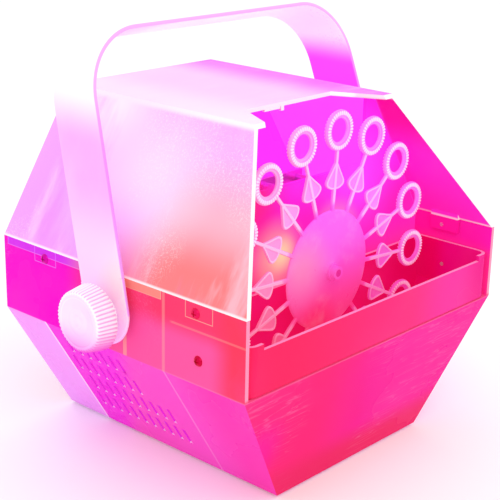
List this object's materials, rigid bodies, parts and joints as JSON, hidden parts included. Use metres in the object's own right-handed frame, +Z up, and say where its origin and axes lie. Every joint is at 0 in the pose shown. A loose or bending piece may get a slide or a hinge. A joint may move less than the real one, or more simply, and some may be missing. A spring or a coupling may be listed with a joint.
{
  "type": "bubble machine",
  "caption": "Six-sided see-through bubble machine with a rotating wand wheel in its open front, a fluid trough below it, a fan behind it and a swinging strap handle held by side knobs.",
  "frame": {"origin": "on the ground plane under the middle of the machine's overall box", "axes": "+X to the machine's left-to-right seen from the front, -Y out of the open front, +Z up"},
  "size_m": [0.335, 0.2326, 0.3018],
  "materials": {
    "case_plastic": "clear magenta-tinted polycarbonate, satin inside",
    "cover_plastic": "frosted clear polycarbonate",
    "panel_plastic": "tinted plastic plate",
    "plate_plastic": "tinted plastic plate",
    "tank_plastic": "tinted clear plastic",
    "wheel_plastic": "translucent moulded plastic",
    "handle_plastic": "translucent white moulded plastic",
    "knob_plastic": "white moulded plastic",
    "gear_plastic": "natural nylon",
    "zinc_steel": "zinc plated",
    "bronze": "turned",
    "black_plastic": "moulded",
    "switch_red": "moulded",
    "guard_wire": "plated wire",
    "board_green": "solder mask over glass epoxy",
    "lamp_lens": "clear epoxy lens",
    "coil_tape": "wrapped tape over a steel core",
    "capacitor_sleeve": "shrink sleeve",
    "sink_metal": "extruded",
    "foot_rubber": "moulded"
  },
  "bodies": {
    "case": {"base_housing": "case_plastic", "top_cover": "cover_plastic", "rear_panel": "panel_plastic", "partition": "plate_plastic", "fan_bulkhead": "plate_plastic", "fluid_tank": "tank_plastic", "gearbox_front_plate": "zinc_steel", "gearbox_rear_plate": "zinc_steel", "gearbox_pillars": "zinc_steel", "shaft_bushes": "bronze", "compound_gear_pin": "zinc_steel", "motor_can": "zinc_steel", "motor_end_cap": "black_plastic", "motor_screws": "zinc_steel", "gearbox_screws": "zinc_steel", "fan_frame": "black_plastic", "fan_guard": "guard_wire", "fan_screws": "zinc_steel", "fan_nuts": "zinc_steel", "lamp_boards": "board_green", "lamps": "lamp_lens", "power_board": "board_green", "power_transformer": "coil_tape", "power_capacitors": "capacitor_sleeve", "board_heat_sink": "sink_metal", "board_pillars": "gear_plastic", "board_screws": "zinc_steel", "mains_inlet": "black_plastic", "inlet_pins": "bronze", "switch_body": "black_plastic", "switch_tags": "bronze", "rubber_feet": "foot_rubber", "cover_screws": "zinc_steel", "tank_screws": "zinc_steel", "rear_panel_screws": "zinc_steel", "pivot_nuts": "zinc_steel", "handle_washers": "foot_rubber"},
    "wheel": {"bubble_wheel": "wheel_plastic", "wheel_cap_nut": "wheel_plastic", "wheel_shaft": "zinc_steel", "output_gear": "gear_plastic"},
    "compound": {"compound_gear": "gear_plastic"},
    "rotor": {"motor_rotor": "zinc_steel", "motor_pinion": "gear_plastic"},
    "fan": {"fan_impeller": "black_plastic"},
    "handle": {"carry_handle": "handle_plastic"},
    "knob_left": {"left_knob": "knob_plastic", "left_knob_stud": "zinc_steel"},
    "knob_right": {"right_knob": "knob_plastic", "right_knob_stud": "zinc_steel"},
    "rocker": {"switch_rocker": "switch_red"}
  },
  "joints": [
    {"name": "wheel_spin", "type": "hinge", "parent": "case", "child": "wheel", "pos_m": [0, -0.0678, 0.1362], "axis": [0, 1, 0], "continuous": true},
    {"name": "compound_spin", "type": "hinge", "parent": "case", "child": "compound", "pos_m": [0, -0.034, 0.157], "axis": [0, 1, 0], "continuous": true},
    {"name": "rotor_spin", "type": "hinge", "parent": "case", "child": "rotor", "pos_m": [0, -0.01, 0.1762], "axis": [0, 1, 0], "continuous": true},
    {"name": "fan_spin", "type": "hinge", "parent": "case", "child": "fan", "pos_m": [0, 0.083, 0.15], "axis": [0, 1, 0], "continuous": true},
    {"name": "handle_swing", "type": "hinge", "parent": "case", "child": "handle", "pos_m": [0, 0, 0.1245], "axis": [1, 0, 0], "range_deg": [-24, 58]},
    {"name": "left_knob_turn", "type": "hinge", "parent": "case", "child": "knob_left", "pos_m": [-0.1453, 0, 0.1245], "axis": [-1, 0, 0], "range_deg": [0, 720]},
    {"name": "right_knob_turn", "type": "hinge", "parent": "case", "child": "knob_right", "pos_m": [0.1453, 0, 0.1245], "axis": [1, 0, 0], "range_deg": [0, 720]},
    {"name": "switch_rock", "type": "hinge", "parent": "case", "child": "rocker", "pos_m": [0.042, 0.11065, 0.062], "axis": [1, 0, 0], "range_deg": [-22, 0]}
  ],
  "couplings": [
    {"joint": "compound_spin", "follows": "wheel_spin", "ratio": -3.3333},
    {"joint": "rotor_spin", "follows": "wheel_spin", "ratio": 10}
  ]
}
